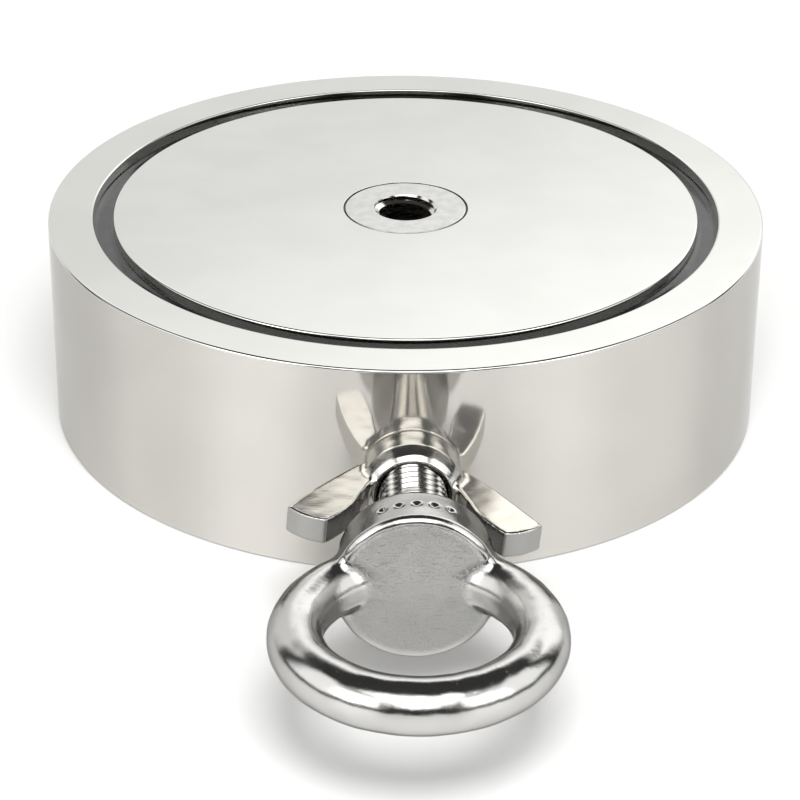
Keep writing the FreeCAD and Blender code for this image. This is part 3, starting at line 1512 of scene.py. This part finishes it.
# ------------------------------------------------------------------------ the wing nut
@dataclass
class WingNut:
    """The wing nut that locks the eyebolt."""

    hub_radius: float = 8.6
    shoulder: float = 4.8
    neck_radius: float = 7.7
    neck: float = 6.9
    mouth_radius: float = 6.85
    height: float = 7.85
    mouth_depth: float = 0.4
    bore: float = 6.05
    hub_rounding: float = 0.18
    heel: tuple[float, float] = (9.75, 2.4)
    back_middle: tuple[float, float] = (16.0, 10.2)
    tip_back: tuple[float, float] = (21.45, 18.3)
    end_middle: tuple[float, float] = (18.75, 20.55)
    tip_front: tuple[float, float] = (15.0, 21.9)
    throat_middle: tuple[float, float] = (11.3, 17.2)
    throat: tuple[float, float] = (9.3, 12.4)
    root_back: tuple[float, float] = (7.4, 1.6)
    root_front: tuple[float, float] = (7.4, 7.6)
    wing_thickness: float = 4.75
    wing_rounding: float = 0.45
    wing_polish: float = 0.2
    mouth_polish: float = 0.15
    fillet: float = 1.5
    turn: float = -5.2
    pitch: float = 0.25

    def _hub(self, seat: float) -> Distance:
        """The round body, with its domed front.

        Args:
            seat: the reach of the nut's back face.

        Returns:
            The hub's distance field.
        """
        return turned_field([
            (self.bore, seat),
            (self.hub_radius, seat),
            (self.hub_radius, seat + self.shoulder),
            (self.neck_radius, seat + self.neck),
            (self.mouth_radius, seat + self.height),
            (self.bore, seat + self.height),
        ], self.hub_rounding)

    def _bore(self, seat: float) -> Distance:
        """The hole through the hub, with its countersunk mouth.

        Args:
            seat: the reach of the nut's back face.

        Returns:
            The hole's distance field.
        """
        slope = (self.mouth_radius - 0.1 - self.bore) / self.mouth_depth
        start = seat + self.height - self.mouth_depth

        def distance(points: np.ndarray) -> np.ndarray:
            """The signed distance at each point."""
            widened = np.clip(-points[:, 1] - start, 0, self.mouth_depth + 0.2) * slope
            gap = np.hypot(points[:, 0], points[:, 2]) - self.bore - widened
            return gap / math.hypot(1, slope)

        return distance

    def _end(self, steps: int = 10) -> list[tuple[float, float]]:
        """The wing's blunt end, as (offset, height above the seat)."""
        return arc(self.tip_back, self.end_middle, self.tip_front, steps)

    def _throat(self, steps: int = 10) -> list[tuple[float, float]]:
        """The wing's hollow inner side, as (offset, height above the seat)."""
        return arc(self.tip_front, self.throat_middle, self.throat, steps)

    def _mark_sides(self, mesh: bpy.types.Mesh, seat: float) -> None:
        """Leave the bore and the wings' blunt ends and inner sides out of the polishing; the bore and
        the inner sides get a near-black painted shade.

        Args:
            mesh: the nut's mesh, before it is turned to its angle.
            seat: the reach of the nut's back face.
        """
        centres = np.empty(len(mesh.polygons) * 3)
        mesh.polygons.foreach_get("center", centres)
        centres = centres.reshape(-1, 3) / MM
        spots = np.stack((np.abs(centres[:, 0]), -centres[:, 1] - seat), 1)
        inner = np.abs(centres[:, 2]) < self.wing_thickness / 2 - self.wing_polish
        bore = np.hypot(centres[:, 0], centres[:, 2]) < self.mouth_radius - self.mouth_polish
        # Index 2, given to the bore here and to the throats below, is the near-black finish: painted
        # shade and painted reflection, not the metal's own colour.
        marks = np.where(bore, 2, 0).astype(np.int32)
        for index, line, reach in ((2, self._throat(60), 1.2), (1, self._end(40), 0.5)):
            gap = np.min(np.linalg.norm(spots[:, None] - np.array(line)[None], axis=2), 1)
            marks[(gap < reach) & inner] = index
        mesh.polygons.foreach_set("material_index", marks)

    def _wing(self, seat: float, side: int) -> Distance:
        """One wing, leaning outwards and towards the eye.

        Args:
            seat: the reach of the nut's back face.
            side: 1 towards +X, -1 towards -X.

        Returns:
            The wing's distance field.
        """
        outline = [self.root_back, *arc(self.heel, self.back_middle, self.tip_back),
                   *self._end(), *self._throat(), self.throat, self.root_front]
        return plate_field([(offset, seat + height) for offset, height in outline],
                           self.wing_thickness, self.wing_rounding, side)

    def dress(self, finishes: Finishes) -> None:
        """Build the nut and put it on its body.

        Args:
            finishes: every finish on the object.
        """
        low, high = box_mm("wing_nut")
        seat = -high.y
        nut = self._hub(seat)
        for side in (1, -1):
            nut = merged_field(nut, self._wing(seat, side), self.fillet)
        nut = cut_field(nut, self._bore(seat), 0.12)
        nut = Unevenness(0.017, 2.5, 8.0, seed=11).over(nut)
        margin = 1.0
        reach = max(abs(low.x), high.x) + margin
        mesh = skin("wing_nut_casting", nut, (-reach, low.y - margin, -self.hub_radius - margin),
                    (reach, high.y + margin, self.hub_radius + margin), self.pitch)
        self._mark_sides(mesh, seat)
        mesh.transform(Matrix.Rotation(math.radians(-self.turn), 4, "Y"))
        # The third material paints shade on the wings' throats and the bore.
        piece = new_piece("wing_nut_casting", mesh, finishes.nut, finishes.sheared, finishes.cast)
        install(piece, Body.WING_NUT, Slot.NUT, "wing_nut")


# --------------------------------------------------------------------------- the studio
@dataclass
class Camera:
    """The camera, placed by its angle round the magnet."""

    azimuth: float = -1.15
    elevation: float = 28.196
    roll: float = 0.446
    distance: float = 552.9
    target: tuple[float, float, float] = (-0.80, 0.0, -22.0)
    lens: float = 125.44
    sensor: float = 36.0

    def place(self) -> None:
        """Make the camera and hand it to the scene."""
        az, el, roll = (math.radians(a) for a in (self.azimuth, self.elevation, self.roll))
        back = Vector((math.sin(az) * math.cos(el), -math.cos(az) * math.cos(el), math.sin(el)))
        right = Vector((math.cos(az), math.sin(az), 0))
        up = back.cross(right)
        rolled = right * math.cos(roll) + up * math.sin(roll)
        upright = up * math.cos(roll) - right * math.sin(roll)
        turn = Matrix((rolled, upright, back)).transposed().to_4x4()
        spot = (Vector(self.target) + back * self.distance) * MM
        data = bpy.data.cameras.new("studio_camera")
        data.lens, data.sensor_width = self.lens, self.sensor
        data.clip_start, data.clip_end = 0.01, 50.0
        camera = bpy.data.objects.new("studio_camera", data)
        camera.matrix_world = Matrix.Translation(spot) @ turn
        bpy.context.scene.collection.objects.link(camera)
        bpy.context.scene.camera = camera


@dataclass
class Studio:
    """A pale floor in a room: a lit backdrop, a panel in front and one on each side."""

    floor_size: float = 6.0
    floor_colour: Colour = (0.61, 0.61, 0.608)
    floor_gloss: float = 0.36
    ambient: float = 0.05
    backdrop: float = 1.49
    backdrop_middle: float = 28.5
    backdrop_rise: float = 0.09
    backdrop_lean: float = 0.034
    backdrop_limits: tuple[float, float] = (1.0, 1.8)
    front_panel: float = 2.8
    side_panels: float = 1.4
    strips: float = 3.4
    key_power: float = 12.5
    key_size: float = 0.5
    key_place: tuple[float, float, float] = (0.05, -0.60, 1.0)

    def _glow(self, graph: Graph, x: Value, y: Value, z: Value) -> Value:
        """How bright the room is in a direction.

        Args:
            graph: the world's node tree.
            x: the direction's part along +X.
            y: its part along +Y.
            z: its part along +Z.

        Returns:
            The brightness.
        """
        to_degrees = 360.0 / TURN
        azimuth = graph.maths("ARCTAN2", x, y) * to_degrees
        off_back = abs(azimuth)
        elevation = graph.maths("ARCSINE", z) * to_degrees
        height = z.most(0.02)
        across = abs(x) / height
        ahead = y / height * -1.0
        tone = self.backdrop + self.backdrop_rise * (elevation - self.backdrop_middle)
        tone = tone + self.backdrop_lean * azimuth
        dimmest, brightest = self.backdrop_limits
        tone = tone.most(dimmest).least(brightest)
        back = (1.0 - off_back.step(48.0, 60.0)) * (1.0 - elevation.step(37.0, 44.0))
        front = (1.0 - across.step(0.5, 0.64)) * ahead.step(0.22, 0.36)
        front = front * (1.0 - ahead.step(2.0, 2.5))
        side = across.step(0.70, 0.86) * off_back.step(68.0, 78.0) * elevation.step(5.0, 13.0)
        side = side * (1.0 - off_back.step(146.0, 152.0)) * (1.0 - elevation.step(55.0, 66.0))
        strip = 1.0 - abs(off_back - 130.0).step(4.0, 24.0)
        strip = strip * elevation.step(10.0, 18.0) * (1.0 - elevation.step(38.0, 50.0))
        strip = strip * (1.0 - 0.3 * azimuth.step(0.0, 90.0))
        return (self.ambient + back * tone + front * self.front_panel
                + side * self.side_panels + strip * self.strips)

    def light(self) -> None:
        """Build the room's light as the world."""
        world = bpy.data.worlds.new("studio")
        bpy.context.scene.world = world
        world.use_nodes = True
        graph = Graph(world.node_tree)
        direction = graph.node("ShaderNodeTexCoord").outputs["Generated"]
        glow = self._glow(graph, *graph.parts(graph.vector("NORMALIZE", direction)))
        shader = graph.node("ShaderNodeBackground", {},
                            {"Color": (1.0, 0.998, 0.99, 1.0), "Strength": glow})
        graph.node("ShaderNodeOutputWorld", {}, {"Surface": shader.outputs[0]})

    def key_light(self) -> None:
        """Hang a soft light above the camera that the polished metal doesn't mirror."""
        data = bpy.data.lights.new("key_light", "AREA")
        data.energy, data.size = self.key_power, self.key_size
        lamp = bpy.data.objects.new("key_light", data)
        spot = Vector(self.key_place)
        facing = spot.to_track_quat("Z", "Y").to_matrix().to_4x4()
        lamp.matrix_world = Matrix.Translation(spot) @ facing
        lamp.visible_glossy = False
        bpy.context.scene.collection.objects.link(lamp)

    def floor(self) -> None:
        """Lay the floor under the casing."""
        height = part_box("casing")[0].z
        half = self.floor_size / 2
        mesh = bpy.data.meshes.new("floor")
        corners = [(-half, -half, height), (half, -half, height), (half, half, height),
                   (-half, half, height)]
        mesh.from_pydata(corners, [], [(0, 1, 2, 3)])
        made = bpy.data.materials.new("pale_floor")
        made.use_nodes = True
        graph = Graph(made.node_tree)
        grain = graph.noise(graph.place(), 0.02, 2.0)
        dark = tuple(0.99 * channel for channel in self.floor_colour)
        shader = graph.node("ShaderNodeBsdfPrincipled", {},
                            {"Base Color": graph.blend(grain, dark, self.floor_colour),
                             "Roughness": self.floor_gloss})
        graph.node("ShaderNodeOutputMaterial", {}, {"Surface": shader.outputs[0]})
        new_piece("floor", mesh, made)

    def set_up(self) -> None:
        """Light the room, lay the floor and choose a plain rendition of tones."""
        self.light()
        self.key_light()
        self.floor()
        bpy.context.scene.view_settings.view_transform = "Standard"
        bpy.context.scene.view_settings.look = "None"


def main() -> None:
    """Build every piece in order."""
    logging.basicConfig(level=logging.INFO, format="%(name)s %(message)s")
    Camera().place()
    Studio().set_up()
    finishes = Finishes.build()
    Casing().dress(finishes)
    for side in Side:
        MagnetFace(side).dress(finishes)
    CentreBush().dress(finishes)
    Eyebolt().dress(finishes)
    WingNut().dress(finishes)


if __name__ == "__main__":
    main()
